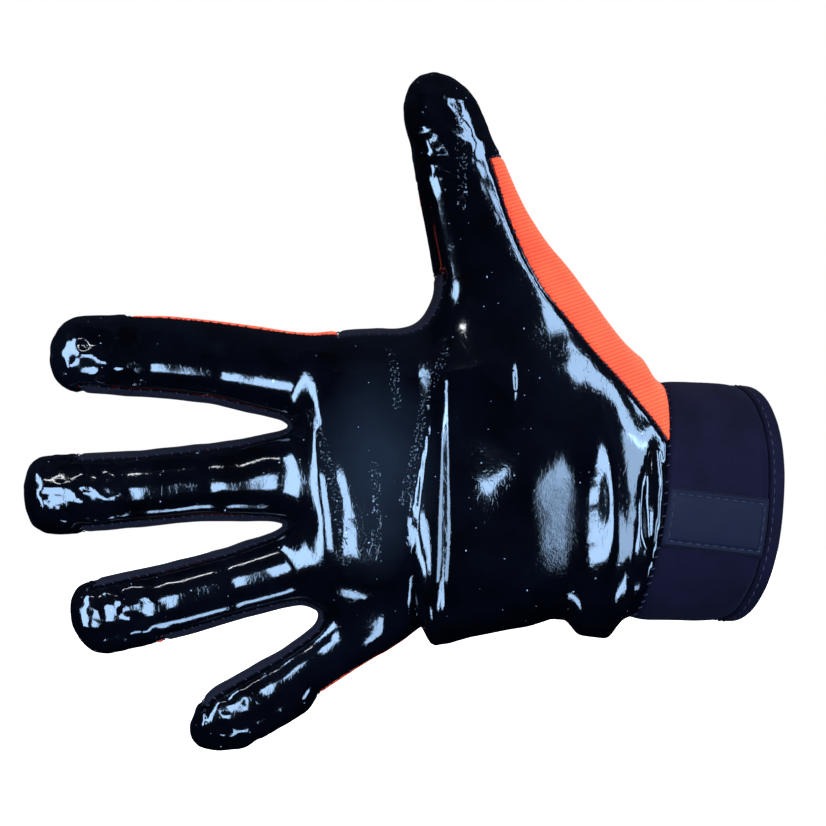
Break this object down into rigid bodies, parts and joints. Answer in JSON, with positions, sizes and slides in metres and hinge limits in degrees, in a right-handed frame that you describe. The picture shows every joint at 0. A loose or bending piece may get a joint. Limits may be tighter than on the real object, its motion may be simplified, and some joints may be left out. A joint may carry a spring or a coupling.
{
  "type": "goalkeeper glove",
  "caption": "Right-hand ball-catching glove in its worn form, with a coated grip palm, ribbed knit back, side strips between the fingers and a slip-on cuff.",
  "frame": {"origin": "centre of the cuff's opening, where the hand goes in", "axes": "-X towards the fingertips, +Z towards the thumb's side, -Y out of the palm, +Y out of the back of the hand"},
  "size_m": [0.2268, 0.0591, 0.2026],
  "materials": {
    "coated_palm": "glossy wet-look grip coating",
    "knit_back": "fine ribbed knit",
    "side_cloth": "matte stretch cloth",
    "cuff_cloth": "matte cloth over foam",
    "tab_cloth": "satin smooth cloth",
    "thread": "sewing thread"
  },
  "bodies": {
    "root": {"palm_panel": "coated_palm", "back_panel": "knit_back", "index_middle_strip": "side_cloth", "middle_ring_strip": "side_cloth", "ring_little_strip": "side_cloth", "thumb_web_gusset": "side_cloth", "wrist_cuff": "cuff_cloth", "cuff_hem": "cuff_cloth", "wrist_tab": "tab_cloth"}
  },
  "joints": []
}
